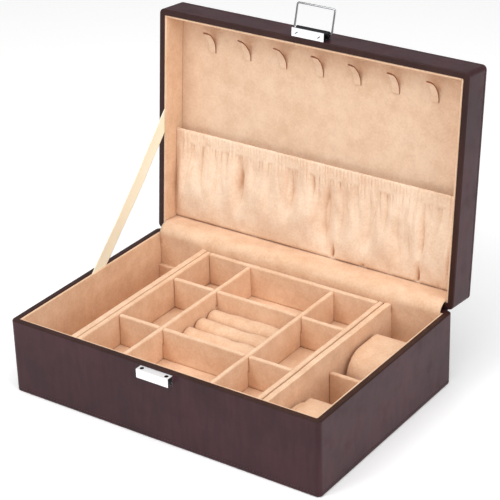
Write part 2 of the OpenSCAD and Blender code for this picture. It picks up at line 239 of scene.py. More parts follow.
class Finish:
    """A material being made round one Principled shader."""

    def __init__(self, name, **constants):
        self.material = bpy.data.materials.new(name)
        self.material.use_nodes = True
        self.tree = self.material.node_tree
        self.tree.nodes.clear()
        self.shader = self.node("ShaderNodeBsdfPrincipled", {}, constants)
        self.node("ShaderNodeOutputMaterial", {}, {"Surface": self.shader.outputs["BSDF"]})

    def node(self, kind, settings, inputs):
        """A node of a kind, its settings first and then the values or links of its sockets."""
        made = self.tree.nodes.new(kind)
        for setting, value in settings.items():
            setattr(made, setting, value)
        for socket, value in inputs.items():
            self.feed(made.inputs[socket], value)
        return made

    def feed(self, socket, value):
        if isinstance(value, Value):
            value = value.socket
        if isinstance(value, bpy.types.NodeSocket):
            self.tree.links.new(value, socket)
        else:
            socket.default_value = value

    def set(self, name, value):
        self.feed(self.shader.inputs[name], value)

    def maths(self, operation, *numbers):
        made = self.node("ShaderNodeMath", {"operation": operation}, dict(enumerate(numbers)))
        return Value(self, made.outputs[0])

    def place(self, stretch=(1, 1, 1), turn=(0, 0, 0), output="Object"):
        """The surface's own coordinates, stretched and turned."""
        source = self.node("ShaderNodeTexCoord", {}, {}).outputs[output]
        made = self.node("ShaderNodeMapping", {}, {"Vector": source, "Scale": stretch, "Rotation": turn})
        return made.outputs["Vector"]

    def noise(self, place, scale, detail=3, roughness=0.55):
        inputs = {"Vector": place, "Scale": scale, "Detail": detail, "Roughness": roughness}
        return Value(self, self.node("ShaderNodeTexNoise", {}, inputs).outputs["Fac"])

    def cells(self, place, scale):
        made = self.node("ShaderNodeTexVoronoi", {"feature": "F1"}, {"Vector": place, "Scale": scale})
        return Value(self, made.outputs["Distance"])

    def spread(self, value, low, high):
        """Stretches the range low to high to 0 to 1, smoothly and without passing its ends."""
        inputs = {"Value": value, "From Min": low, "From Max": high, "To Min": 0, "To Max": 1}
        made = self.node("ShaderNodeMapRange", {"interpolation_type": "SMOOTHSTEP"}, inputs)
        return Value(self, made.outputs["Result"])

    def blend(self, share, first, second):
        """A colour that goes from the first to the second."""
        made = self.node("ShaderNodeMix", {"data_type": "RGBA"}, {"Factor": share})
        colour_inputs = [socket for socket in made.inputs if socket.type == "RGBA"]
        for socket, value in zip(colour_inputs, (first, second)):
            self.feed(socket, value)
        return next(socket for socket in made.outputs if socket.type == "RGBA")

    def bump(self, height, distance, strength=1.0, under=None):
        inputs = {"Height": height, "Distance": distance, "Strength": strength}
        if under:
            inputs["Normal"] = under
        return self.node("ShaderNodeBump", {}, inputs).outputs["Normal"]


def colour(red, green, blue):
    """A colour given as it is seen on a screen, from 0 to 255."""
    def linear(part):
        share = part / 255
        return share / 12.92 if share <= 0.04045 else ((share + 0.055) / 1.055) ** 2.4
    return (linear(red), linear(green), linear(blue), 1)


def satin_leather(name, deep, worn):
    """Smooth leather with a fine pebbled grain, faint blotches and duller scuffs."""
    finish = Finish(name, **{"Specular IOR Level": 0.25})
    place = finish.place()
    blotches = finish.noise(place, 22, 4, 0.6)
    streaks = finish.noise(finish.place((9, 9, 1.4)), 26, 3)
    tone = finish.spread(blotches * 0.66 + streaks * 0.34, 0.33, 0.69)
    finish.set("Base Color", finish.blend(tone, deep, worn))
    grain = finish.cells(place, 1500)
    pores = finish.noise(place, 3200, 2)
    scuffs = finish.spread(finish.noise(place, 55, 5, 0.65), 0.45, 0.75)
    finish.set("Roughness", 0.4 + scuffs * 0.1 + grain * 0.06)
    fine = finish.bump(grain * 0.7 + pores * 0.3, 0.00009, 0.5)
    finish.set("Normal", finish.bump(finish.noise(place, 38, 2), 0.0012, 0.22, fine))
    return finish.material


def velour(name, shaded, lit, folded=None):
    """Short-napped cloth: brushed patches, a fine fibre and a soft sheen, with painted shade, a deeper tone,
    inside folds.
    """
    finish = Finish(name, **{"Sheen Weight": 0.25, "Sheen Roughness": 0.5, "Specular IOR Level": 0.1})
    place = finish.place()
    brushed = finish.noise(finish.place((1, 1.6, 1), (0.3, 0.5, 0.2)), 26, 4, 0.6)
    patches = finish.noise(place, 95, 3)
    speckle = finish.noise(place, 560, 2, 0.6)
    fibre = finish.noise(place, 1500, 2, 0.7)
    tone = finish.spread(brushed * 0.34 + patches * 0.26 + speckle * 0.26 + fibre * 0.14, 0.36, 0.64)
    base = finish.blend(tone, shaded, lit)
    # The folded colour is painted shade, mixed in where the fold_depth attribute marks a hollow.
    if folded:
        depth = finish.node("ShaderNodeAttribute", {"attribute_name": "fold_depth"}, {}).outputs["Fac"]
        base = finish.blend(Value(finish, depth), base, folded)
    finish.set("Base Color", base)
    finish.set("Roughness", 0.85 + fibre * 0.12)
    nap = finish.bump(fibre, 0.00025, 0.35)
    finish.set("Normal", finish.bump(patches * 0.4 + brushed * 0.6, 0.0016, 0.3, nap))
    return finish.material


def polished_chrome(name, tint=(0.9, 0.905, 0.92, 1)):
    """Bright plate with faint rubbing marks."""
    finish = Finish(name, **{"Metallic": 1.0, "Base Color": tint})
    rubbed = finish.noise(finish.place((1, 14, 1), (0, 0.2, 0.1)), 180, 3)
    smears = finish.noise(finish.place(), 120, 4)
    finish.set("Roughness", 0.05 + finish.spread(smears, 0.4, 0.7) * 0.07 + rubbed * 0.03)
    finish.set("Normal", finish.bump(rubbed, 0.00002, 0.2))
    return finish.material


def brushed_highlight_plate(name):
    """Plate brushed along its length to a pale satin, part diffuse and near white: a painted highlight that
    makes it look lit.
    """
    finish = Finish(name, **{"Metallic": 0.45, "Base Color": (0.95, 0.95, 0.97, 1)})
    brushed = finish.noise(finish.place((1, 30, 1)), 90, 3)
    finish.set("Roughness", 0.3 + brushed * 0.12)
    finish.set("Normal", finish.bump(brushed, 0.00002, 0.3))
    return finish.material


def painted_shade_plate(name):
    """A nearly black finish, painted shade for the hollow inside a folded sheet."""
    finish = Finish(name, **{"Metallic": 0.2, "Specular IOR Level": 0.3})
    bloom = finish.noise(finish.place(), 500, 3)
    finish.set("Base Color", finish.blend(bloom, colour(14, 14, 16), colour(36, 36, 40)))
    finish.set("Roughness", 0.45 + bloom * 0.2)
    finish.set("Normal", finish.bump(bloom, 0.00005, 0.4))
    return finish.material


def woven(name, dark, light, across, along, shine, depth):
    """Ribbon or elastic: threads across and along the piece's own map."""
    finish = Finish(name, **{"Sheen Weight": 0.2, "Specular IOR Level": shine})
    weft_map = finish.place(output="UV")
    weft = finish.node("ShaderNodeTexWave", {"bands_direction": "Y"}, {"Vector": weft_map, "Scale": along})
    warp = finish.node("ShaderNodeTexWave", {"bands_direction": "X"}, {"Vector": weft_map, "Scale": across})
    weft_threads = Value(finish, weft.outputs["Fac"])
    warp_threads = Value(finish, warp.outputs["Fac"])
    uneven = finish.noise(finish.place(), 150, 3)
    tone = finish.spread(weft_threads * 0.25 + warp_threads * 0.1 + uneven * 0.65, 0.2, 0.7)
    finish.set("Base Color", finish.blend(tone, dark, light))
    finish.set("Roughness", 0.36 + weft_threads * 0.1)
    finish.set("Normal", finish.bump(weft_threads * 0.7 + warp_threads * 0.3, depth, 0.5))
    return finish.material


def pressed_card(name):
    """Grey-brown board with flecks and fibres."""
    finish = Finish(name, **{"Specular IOR Level": 0.2})
    flecks = finish.noise(finish.place(), 900, 4, 0.7)
    fibres = finish.noise(finish.place((1, 8, 1)), 260, 3)
    tone = finish.spread(flecks * 0.5 + fibres * 0.5, 0.35, 0.65)
    finish.set("Base Color", finish.blend(tone, colour(150, 124, 94), colour(186, 160, 124)))
    finish.set("Roughness", 0.8 + flecks * 0.15)
    finish.set("Normal", finish.bump(fibres, 0.0002, 0.4))
    return finish.material


def flock(name):
    """Dark felted sheet with pilling."""
    finish = Finish(name, **{"Sheen Weight": 0.4, "Specular IOR Level": 0.1})
    pile = finish.noise(finish.place(), 1500, 3, 0.7)
    pills = finish.noise(finish.place(), 160, 4)
    tone = finish.spread(pile * 0.5 + pills * 0.5, 0.35, 0.65)
    finish.set("Base Color", finish.blend(tone, colour(38, 31, 32), colour(66, 56, 56)))
    finish.set("Roughness", 0.9 + pile * 0.1)
    finish.set("Normal", finish.bump(pile, 0.0003, 0.6))
    return finish.material


def waxed_thread(name):
    """Twisted sewing thread."""
    finish = Finish(name, **{"Specular IOR Level": 0.4})
    twist = finish.noise(finish.place((1, 1, 1), (0.4, 0.7, 0.3)), 2200, 2)
    finish.set("Base Color", finish.blend(twist, colour(48, 34, 36), colour(92, 74, 76)))
    finish.set("Roughness", 0.45 + twist * 0.2)
    finish.set("Normal", finish.bump(twist, 0.0001, 0.5))
    return finish.material


FINISHES = {
    "leather": satin_leather("satin_leather", colour(50, 22, 28), colour(67, 33, 40)),
    "suede_lining": velour("lining_velour", colour(222, 181, 146), colour(240, 206, 175)),
    "board": pressed_card("pressed_card"),
    "chrome": polished_chrome("polished_chrome"),
    "satin_ribbon": woven("ribbon_satin", colour(255, 253, 218), colour(255, 255, 240),
                          13, 140, 0.5, 0.00005),
    "elastic": woven("woven_elastic", colour(214, 200, 176), colour(240, 230, 210),
                     12, 90, 0.3, 0.0002),
    "underside_felt": flock("underside_flock"),
}
RIM_LEATHER = satin_leather("rim_leather", colour(44, 21, 18), colour(58, 31, 27))
PANEL_VELOUR = velour("panel_velour", colour(223, 187, 156), colour(240, 210, 182))
# The pocket's third colour is painted shade for the hollows of its folds.
POCKET_VELOUR = velour("pocket_velour", colour(234, 201, 172), colour(252, 228, 203), colour(198, 140, 100))
# A darker cloth colour that paints the shadow line along the hooks' sides and tips.
HOOK_EDGE_SHADE = velour("cut_edge", colour(128, 76, 50), colour(164, 106, 74))
# The bail's chrome is dimmed to well under half brightness: painted shade for the dark reflections along its
# wire.
BAIL_SHADED_CHROME = polished_chrome("bail_wire", (0.42, 0.425, 0.44, 1))
THREAD = waxed_thread("waxed_thread")
PAINTED_SHADE_PLATE = painted_shade_plate("painted_shade_plate")
BRUSHED_HIGHLIGHT_PLATE = brushed_highlight_plate("brushed_highlight_plate")


# ---- Leather shells ----
CORNER = 4 * MM
EDGE_ROUND = 1.1 * MM
RIM_STEP = 3 * MM
STITCH_INSET = 3.2 * MM
GROOVE = 0.25 * MM
GROOVE_STEP = 0.35 * MM
SKIN = 0.9 * MM
RIM_SOFT = 0.35 * MM
THREAD_RADIUS = 0.3 * MM
STITCH_PITCH = 2.8 * MM


def leather_shell(name, low, high):
    """A shell, rim up: rounded corners and edges, a stitching groove, and leather turned in at the rim."""
    middle = (low + high) / 2
    width, depth = high.x - low.x, high.y - low.y
    piece = block(name, low, high)
    start_shaping(piece)
    choose_edges(piece, lambda a, b: abs(a.z - b.z) > (high.z - low.z) / 2)
    bpy.ops.mesh.bevel(offset=CORNER, segments=6)
    choose_edges(piece, lambda a, b: abs(a.z - b.z) < 1e-6)
    bpy.ops.mesh.bevel(offset=EDGE_ROUND, segments=4)
    groove_z = low.z + STITCH_INSET
    for step in (-2, -1, 0, 1, 2):
        cut_through((0, 0, groove_z + step * GROOVE_STEP), (0, 0, 1))
    choose_edges(piece, lambda a, b: max(abs(a.z - groove_z), abs(b.z - groove_z)) < 1.1 * GROOVE_STEP)
    shrink = (1 - 2 * GROOVE / width, 1 - 2 * GROOVE / depth, 1)
    bpy.ops.transform.resize(value=shrink, center_override=middle)
    choose_faces(piece, lambda centre, normal: normal.z > 0.99 and centre.z > high.z - 1e-5)
    bpy.ops.mesh.inset(thickness=RIM_STEP - EDGE_ROUND)
    bpy.ops.mesh.inset(thickness=1e-5)
    narrow = ((width - 2 * WALL) / (width - 2 * RIM_STEP), (depth - 2 * WALL) / (depth - 2 * RIM_STEP), 1)
    bpy.ops.transform.resize(value=narrow, center_override=middle)
    bpy.ops.mesh.extrude_region_move(TRANSFORM_OT_translate={"value": (0, 0, -LEATHER)})
    bpy.ops.mesh.delete(type="FACE")
    choose_edges(piece, lambda a, b: is_rim_corner(a, low, high) and is_rim_corner(b, low, high))
    bpy.ops.mesh.bevel(offset=RIM_SOFT, segments=2)
    stop_shaping()
    paint_rim(piece, high.z)
    apply_modifier(piece, "SOLIDIFY", thickness=SKIN, offset=-1)
    settle_shading(piece)
    return piece


def is_rim_corner(point, low, high):
    inside = min(point.x - low.x, high.x - point.x, point.y - low.y, high.y - point.y)
    return abs(point.z - high.z) < 1e-6 and abs(inside - WALL) < 0.1 * MM


def paint_rim(piece, rim_z):
    """A darker, redder leather on the rim's top and on its narrow rounded edges."""
    piece.data.materials.append(FINISHES["leather"])
    piece.data.materials.append(RIM_LEATHER)
    for face in piece.data.polygons:
        face.material_index = 1 if face.center.z > rim_z - 1.15 * MM and face.normal.z > 0.35 else 0
        if face.center.z > rim_z - LEATHER and abs(face.normal.z) < 0.3 and face.area < 3e-4:
            face.material_index = 1


def stitch_row(name, start, end, outward):
    """One straight row of stitches, half sunk in the groove."""
    along = (end - start).normalized()
    length = (end - start).length
    count = int(length / STITCH_PITCH)
    step = length / count
    deselect()
    bpy.ops.mesh.primitive_uv_sphere_add(segments=6, ring_count=5, radius=1)
    row = bpy.context.object
    row.name = name
    turn = along.to_track_quat("X", "Z").to_matrix().to_4x4()
    size = Matrix.Diagonal((step * 0.4, THREAD_RADIUS, THREAD_RADIUS, 1))
    first = start + along * step / 2 - outward * (GROOVE - 0.12 * MM)
    row.data.transform(Matrix.Translation(first) @ turn @ size)
    apply_modifier(row, "ARRAY", count=count, use_relative_offset=False,
                   use_constant_offset=True, constant_offset_displace=along * step)
    smooth(row)
    return row


def stitching(name, low, high):
    """Stitches along the four walls of a shell, near its closed edge."""
    z = low.z + STITCH_INSET
    x0, x1 = low.x + CORNER, high.x - CORNER
    y0, y1 = low.y + CORNER, high.y - CORNER
    rows = [
        stitch_row(name, Vector((x0, low.y, z)), Vector((x1, low.y, z)), Vector((0, -1, 0))),
        stitch_row(name, Vector((x1, high.y, z)), Vector((x0, high.y, z)), Vector((0, 1, 0))),
        stitch_row(name, Vector((low.x, y1, z)), Vector((low.x, y0, z)), Vector((-1, 0, 0))),
        stitch_row(name, Vector((high.x, y0, z)), Vector((high.x, y1, z)), Vector((1, 0, 0))),
    ]
    return join(name, rows)


def turn_over(piece, middle):
    """Rolls a piece over so that its rim faces down."""
    over = Matrix.Rotation(math.pi, 4, "X")
    piece.data.transform(Matrix.Translation(middle) @ over @ Matrix.Translation(-middle))


FOOT_LIFT = 0.3 * MM


def make_base_leather():
    low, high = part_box("base_leather_cover")
    low.z = FOOT_LIFT
    cover = leather_shell("base_leather", low, high)
    fit(cover, "base", "leather", ["base_leather_cover"])
    thread = stitching("base_stitches", low, high)
    fit(thread, "base", "leather", finish=THREAD)


def make_lid_leather():
    low, high = shut_box("lid_leather_cover")
    middle = (low + high) / 2
    for piece in (leather_shell("lid_leather", low, high), stitching("lid_stitches", low, high)):
        turn_over(piece, middle)
        piece.data.transform(LID_OPEN)
        if piece.name == "lid_leather":
            fit(piece, "lid", "leather", ["lid_leather_cover"])
        else:
            fit(piece, "lid", "leather", finish=THREAD)


def make_underside():
    low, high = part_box("base_underside_sheet")
    inset = Vector((2.5 * MM, 2.5 * MM, 0))
    piece = block("underside_felt", low + inset, high - inset)
    start_shaping(piece)
    choose_edges(piece, lambda a, b: abs(a.z - b.z) > 0.5 * MM)
    bpy.ops.mesh.bevel(offset=CORNER, segments=5)
    choose_edges(piece, lambda a, b: max(a.z, b.z) < 1e-6)
    bpy.ops.mesh.bevel(offset=0.3 * MM, segments=2)
    stop_shaping()
    settle_shading(piece)
    fit(piece, "base", "underside_felt", ["base_underside_sheet"])


# ---- Lined boards ----
SIDES = ("front", "back", "left", "right")
LINED = {
    "base": [f"base_lining_{side}" for side in SIDES]
            + ["base_lining_floor", "front_ledge", "rear_ledge", "left_partition", "right_partition",
               "watch_divider"],
    "lid": [f"lid_lining_{side}" for side in SIDES],
    "tray": ["tray_floor"] + [f"tray_{side}_wall" for side in SIDES]
            + ["tray_row_divider_front", "tray_row_divider_back", "tray_column_divider_left",
               "tray_column_divider_right"],
}
HIDDEN_BOARDS = [f"{shell}_{side}_board" for shell in ("base", "lid") for side in SIDES]
HIDDEN_BOARDS += ["base_bottom_board", "lid_top_board"]


def dress_hidden_boards():
    """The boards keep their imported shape, since leather and lining cover them, and get their card finish."""
    for node in HIDDEN_BOARDS:
        for holder in frame["nodes"][node].material_slots:
            holder.material = FINISHES["board"]


WRAP_STEP = 9 * MM
WRAP_WAVE = 0.3 * MM
LINING_ROUND = 0.7 * MM
DIVIDER_ROUND = 1.5 * MM


def make_lined_boards():
    for body, nodes in LINED.items():
        for node in nodes:
            upright = any(word in node for word in ("divider", "wall", "partition"))
            round_off = DIVIDER_ROUND if upright else LINING_ROUND
            piece = rounded_copy(node, node.replace("lining", "lined_board") + "_cloth", round_off)
            if body == "tray" or "partition" in node:
                wrap_by_hand(piece)
            fit(piece, body, "suede_lining", [node])


def wrap_by_hand(piece):
    """The small unevenness of cloth that is drawn round a board by hand."""
    low = Vector(map(min, *(vertex.co for vertex in piece.data.vertices)))
    high = Vector(map(max, *(vertex.co for vertex in piece.data.vertices)))
    axis = 0 if high.x - low.x > high.y - low.y else 1
    across = Vector((1, 0, 0)) if axis == 0 else Vector((0, 1, 0))
    start_shaping(piece)
    for step in range(1, int((high[axis] - low[axis]) / WRAP_STEP)):
        cut_through(across * (low[axis] + step * WRAP_STEP), across)
    stop_shaping()
    for vertex in piece.data.vertices:
        place = vertex.co * 55
        drift = Vector((noise.noise(place), noise.noise(place + Vector((9, 2, 5))), noise.noise(place * 1.3)))
        drift[axis] = 0
        vertex.co += drift * WRAP_WAVE
    settle_shading(piece)


PANEL_TUCK = 0.25 * MM  # how far the panel's cloth edge is tucked behind the side linings
PANEL_CREASE = 0.5 * MM


def make_lid_panel():
    """The lid's inner panel, with a soft crease along its edges where it meets the side linings."""
    low, high = shut_box("lid_panel")
    left, right = shut_box("lid_lining_left")[1].x, shut_box("lid_lining_right")[0].x
    back, front = shut_box("lid_lining_back")[0].y, shut_box("lid_lining_front")[1].y
    piece = block("lid_panel_cloth", Vector((left - PANEL_TUCK, front - PANEL_TUCK, low.z)),
                  Vector((right + PANEL_TUCK, back + PANEL_TUCK, high.z)))
    start_shaping(piece)
    choose_edges(piece, lambda a, b: max(a.z, b.z) < low.z + 1e-6)
    bpy.ops.mesh.bevel(offset=PANEL_CREASE, segments=3)
    stop_shaping()
    settle_shading(piece)
    piece.data.transform(LID_OPEN)
    fit(piece, "lid", "suede_lining", ["lid_panel"], finish=PANEL_VELOUR)


# ---- Necklace hooks ----
HOOK_REACH = 18 * MM
HOOK_THICKNESS = 1.2 * MM
HOOK_TIP = 1.5 * MM
# How far each hook's right edge lifts at its tip, and how far its tip leans to the left
HOOK_TWISTS = [(0.3, 0.2), (2.2, 0.9), (2.0, 1.1), (0.9, 0.3), (1.9, 0.9), (1.2, 0.5), (1.6, 0.7)]


def make_hooks():
    nodes = sorted(name for name in frame["nodes"] if name.startswith("hook_"))
    for node, (lift, lean) in zip(nodes, HOOK_TWISTS):
        make_hook(node, lift * MM, lean * MM)


def make_hook(node, lift, lean):
    """A strip of the lining's cloth on card: its foot lies on the panel, and the rest curls away from it."""
    low, high = shut_box(node)
    root, foot_z = low.y + HOOK_REACH, high.z - HOOK_THICKNESS
    radius = curl_radius(HOOK_REACH, high.z - low.z)
    piece = block(node + "_strap", Vector((low.x, root, foot_z)), high)
    start_shaping(piece)
    choose_faces(piece, lambda centre, normal: normal.y < -0.9)
    turn = math.asin(HOOK_REACH / (radius + HOOK_THICKNESS))
    bpy.ops.mesh.spin(steps=12, angle=turn, center=(0, root, foot_z - radius), axis=(-1, 0, 0))
    bpy.ops.mesh.select_all(action="SELECT")
    bpy.ops.mesh.normals_make_consistent(inside=False)
    choose_edges(piece, lambda a, b: abs(a.x - b.x) < 1e-6 and max(a.y, b.y) < low.y + HOOK_TIP)
    bpy.ops.mesh.bevel(offset=1.4 * MM, segments=3)
    stop_shaping()
    piece.data.materials.append(PANEL_VELOUR)
    piece.data.materials.append(HOOK_EDGE_SHADE)
    # The sides and tips take the darker colour as painted shade along each hook's edge.
    for face in piece.data.polygons:
        face.material_index = 1 if abs(face.normal.x) > 0.9 or face.center.y < low.y + HOOK_TIP else 0
    start_shaping(piece)
    choose_sharp_edges(piece)
    bpy.ops.mesh.bevel(offset=0.2 * MM, segments=2)
    stop_shaping()
    for vertex in piece.data.vertices:
        along = smoothstep(root, low.y, vertex.co.y)
        across = (vertex.co.x - low.x) / (high.x - low.x)
        vertex.co += Vector((-lean * along, 0, -lift * along * across))
    smooth(piece)
    piece.data.transform(LID_OPEN)
    fit(piece, "lid", "suede_lining", [node], finish=PANEL_VELOUR)


def curl_radius(reach, rise):
    """The inner radius of a hook's arc, which has risen by rise where it has gone out by reach."""
    return (reach * reach + rise * rise) / (2 * rise) - HOOK_THICKNESS


# ---- Padded rolls and pillows ----
FRAMES = 20
PRESSURE = 4


def plump(piece, voxel, cap, low, high):
    """Blows a closed cloth form up a little by simulation, and keeps it in the room that it has."""
    piece.data.remesh_voxel_size = voxel
    pick(piece)
    bpy.ops.object.voxel_remesh()
    start = [vertex.co.copy() for vertex in piece.data.vertices]
    cloth = piece.modifiers.new("Cloth", "CLOTH")
    cloth.settings.use_pressure = True
    cloth.settings.uniform_pressure_force = PRESSURE
    cloth.settings.effector_weights.gravity = 0
    cloth.point_cache.frame_end = FRAMES
    for number in range(1, FRAMES + 1):
        bpy.context.scene.frame_set(number)
    bpy.ops.object.modifier_apply(modifier=cloth.name)
    bpy.context.scene.frame_set(1)
    for vertex, place in zip(piece.data.vertices, start):
        shift = vertex.co - place
        if shift.length > cap:
            vertex.co = place + shift * (cap / shift.length)
    for vertex in piece.data.vertices:
        vertex.co = Vector(min(max(part, a), b) for part, a, b in zip(vertex.co, low, high))
    apply_modifier(piece, "SUBSURF", levels=1, render_levels=1)
    smooth(piece, 180)


PILLOW_FRONT_ROUND = 20 * MM
PILLOW_BACK_ROUND = 8 * MM
PILLOW_SLACK = Vector((1.2, 0.8, 0.6)) * MM
PILLOW_SWELL = 3 * MM
SEAM_INSET = 3.2 * MM
SEAM_RADIUS = 0.5 * MM


def make_pillow(node, body):
    """A watch pillow: a padded block, round in front and eased behind, with a seam round each end."""
    low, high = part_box(node)
    piece = block(node + "_cushion", low + PILLOW_SLACK, high - PILLOW_SLACK)
    start_shaping(piece)
    middle_y = (low.y + high.y) / 2
    choose_edges(piece, lambda a, b: abs(a.x - b.x) > 10 * MM and a.y < middle_y)
    bpy.ops.mesh.bevel(offset=PILLOW_FRONT_ROUND, segments=10)
    choose_edges(piece, lambda a, b: abs(a.x - b.x) > 10 * MM and a.y > high.y - PILLOW_SLACK.y - 1e-6)
    bpy.ops.mesh.bevel(offset=PILLOW_BACK_ROUND, segments=6)
    choose_edges(piece, lambda a, b: abs(a.x - b.x) < 1e-6)
    bpy.ops.mesh.bevel(offset=1.5 * MM, segments=2)
    stop_shaping()
    plump(piece, 3 * MM, PILLOW_SWELL, low, high)
    seams = [end_seam(node, piece, x) for x in (low.x + SEAM_INSET, high.x - SEAM_INSET)]
    for seam in seams:
        fit(seam, body, "suede_lining")
    fit(piece, body, "suede_lining", [node])


def end_seam(node, pillow, x):
    """A thin cord of the pillow's own cloth, sewn round it at one end."""
    side = "left" if x < sum(v.co.x for v in pillow.data.vertices) / len(pillow.data.vertices) else "right"
    seam = new_piece(f"{node}_seam_{side}", pillow.data.copy())
    start_shaping(seam)
    bpy.ops.mesh.bisect(plane_co=(x, 0, 0), plane_no=(1, 0, 0), clear_inner=True, clear_outer=True)
    bpy.ops.mesh.remove_doubles(threshold=0.6 * MM)
    stop_shaping()
    bpy.ops.object.convert(target="CURVE")
    seam.data.bevel_depth = SEAM_RADIUS
    seam.data.bevel_resolution = 1
    bpy.ops.object.convert(target="MESH")
    smooth(seam, 180)
    return seam


ROLL_FILL = 0.93  # a roll's radius before it swells, as a share of the room it has
ROLL_SWELL = 1.2 * MM
ROLL_RIPPLE = 1.7 * MM
ROLL_SINK = 0.16


def make_ring_rolls():
    """Padded rolls that grip rings: one is made and plumped, and the rest are turned and moved copies."""
    nodes = sorted(name for name in frame["nodes"] if name.startswith("ring_roll"))
    low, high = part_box(nodes[0])
    middle = (low + high) / 2
    radius = (high.z - low.z) / 2
    length = high.x - low.x
    deselect()
    bpy.ops.mesh.primitive_cylinder_add(vertices=24, radius=radius * ROLL_FILL, depth=length - 0.6 * MM,
                                        location=middle, rotation=(0, math.pi / 2, 0))
    first = bpy.context.object
    settle_place()
    start_shaping(first)
    choose_faces(first, lambda centre, normal: abs(normal.x) > 0.9)
    bpy.ops.mesh.inset(thickness=1.5 * MM)
    choose_edges(first, lambda a, b: abs(a.x - b.x) < 1e-6 and on_roll_end(a, middle, radius))
    bpy.ops.mesh.bevel(offset=1.2 * MM, segments=3)
    stop_shaping()
    plump(first, 2.5 * MM, ROLL_SWELL, low, high)
    for number, node in enumerate(nodes):
        roll_low, roll_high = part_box(node)
        shift = (roll_low + roll_high) / 2 - middle
        roll = new_piece(node + "_padded", first.data.copy())
        turn = Matrix.Rotation(math.pi * (number % 2), 4, "Z") @ Matrix.Rotation(1.3 * number, 4, "X")
        roll.data.transform(Matrix.Translation(middle + shift) @ turn @ Matrix.Translation(-middle))
        ripple(roll, number, roll_low, roll_high)
        fit(roll, "tray", "suede_lining", [node])
    bpy.data.objects.remove(first)


def on_roll_end(point, middle, radius):
    return math.hypot(point.y - middle.y, point.z - middle.z) > radius * 0.9


def ripple(roll, number, low, high):
    """Slight waves along a roll, where its cloth has crept."""
    middle = (low + high) / 2
    for vertex in roll.data.vertices:
        wave = noise.noise(Vector((vertex.co.x * 62, vertex.co.y * 40, number * 7.3)))
        push = Vector((0, vertex.co.y - middle.y, vertex.co.z - middle.z)).normalized() * wave * ROLL_RIPPLE
        vertex.co += push
        vertex.co.z -= ROLL_SINK * max(0, vertex.co.z - middle.z)
        vertex.co = Vector(min(max(part, a), b) for part, a, b in zip(vertex.co, low, high))


# ---- Cloth sheets ----
def cloth_grid(name, columns, rows, place, thickness):
    """A sheet whose points are placed by a function of their shares of its width and length."""
    deselect()
    bpy.ops.mesh.primitive_grid_add(x_subdivisions=columns, y_subdivisions=rows, size=1)
    piece = bpy.context.object
    piece.name = name
    for vertex in piece.data.vertices:
        vertex.co = place(vertex.co.x + 0.5, vertex.co.y + 0.5)
    apply_modifier(piece, "SOLIDIFY", thickness=thickness, offset=0)
    smooth(piece, 180)
    return piece


POCKET_CLOTH = 0.4 * MM
HEM_BACK = 6 * MM
HEM_ROUND = 1.0 * MM
BULGE = 4.6 * MM
PLEAT = 1.1 * MM
FOLD_SCALE = 1.9
FOLD_FULL_SHADE = 1.9 * MM  # a fold this far below the cloth around it has the full painted fold shade
SMOOTHING = 14
PLEAT_PITCH = 3.1 * MM
SEAM_BACK = 1.1 * MM
GATHERS = 62
CASING = 0.89  # where the elastic's casing is stitched, as a share of the pocket's height
# The folds that show most: place across the pocket, foot and head (all as shares), depth and half width in mm
DEEP_FOLDS = [
    (0.045, 0.50, 0.90, 1.2, 2.2), (0.085, 0.35, 0.88, 1.9, 3.0), (0.165, 0.55, 0.90, 1.2, 2.0),
    (0.245, 0.25, 0.80, 4.2, 2.6), (0.300, 0.55, 0.88, 1.3, 2.2), (0.355, 0.35, 0.85, 1.8, 3.0),
    (0.425, 0.30, 0.90, 2.8, 3.6), (0.500, 0.55, 0.90, 1.4, 2.4), (0.555, 0.10, 0.85, 4.4, 3.0),
    (0.600, 0.20, 0.90, 2.0, 2.2), (0.650, 0.45, 0.88, 1.6, 2.2), (0.700, 0.15, 0.86, 2.8, 3.4),
    (0.755, 0.40, 0.90, 2.0, 2.4), (0.800, 0.10, 0.80, 2.8, 3.0), (0.835, 0.15, 0.70, 2.2, 2.4),
    (0.885, 0.20, 0.85, 3.6, 2.2), (0.930, 0.30, 0.90, 2.6, 3.6), (0.970, 0.45, 0.90, 1.4, 2.4),
]
# Pinches in the seam at the pocket's foot: place across, height as a share, depth and half width in mm
PINCHES = [(0.04, 0.10, 1.0, 2.0), (0.13, 0.12, 0.8, 2.4), (0.30, 0.10, 0.8, 2.0), (0.46, 0.14, 1.2, 2.2),
           (0.585, 0.24, 5.0, 1.7), (0.69, 0.08, 3.2, 1.8), (0.78, 0.14, 1.4, 2.2), (0.880, 0.28, 5.0, 1.7),
           (0.95, 0.12, 1.4, 2.0)]


def small_gathers():
    """Short folds that run down from the casing, a few millimetres apart."""
    draw = random.Random(21)
    gathers = []
    for number in range(GATHERS):
        across = (number + 0.5 + draw.uniform(-0.4, 0.4)) / GATHERS
        foot, head = draw.uniform(0.25, 0.75), 1.03
        deep, half_width = draw.uniform(0.3, 1.2), draw.uniform(0.9, 2.1)
        gathers.append((across, foot, head, deep, half_width))
    return gathers


FOLDS = DEEP_FOLDS + small_gathers()


def valley(distance, half_width):
    """The cross section of a fold's valley: narrow at its bottom, and gone a few half widths away."""
    return math.exp(-(abs(distance) / (half_width * 1.55 * MM)) ** 1.4)


def fold_depth(across, rise, width):
    """How deep the folds are at a place on the pocket."""
    depth = 0
    for number, (place, foot, head, deep, half_width) in enumerate(FOLDS):
        distance = (across - place) * width
        if abs(distance) > 16 * MM or rise < foot - 0.12:
            continue
        sway = noise.noise(Vector((rise * 2.2, number * 3.7, 0.4))) * 6 * MM * (head - rise)
        run = smoothstep(foot - 0.12, foot + 0.25, rise) * smoothstep(head + 0.08, head - 0.3, rise)
        depth += deep * MM * FOLD_SCALE * run * valley(distance - sway * 2, half_width * (1.5 - 0.5 * rise))
    return depth


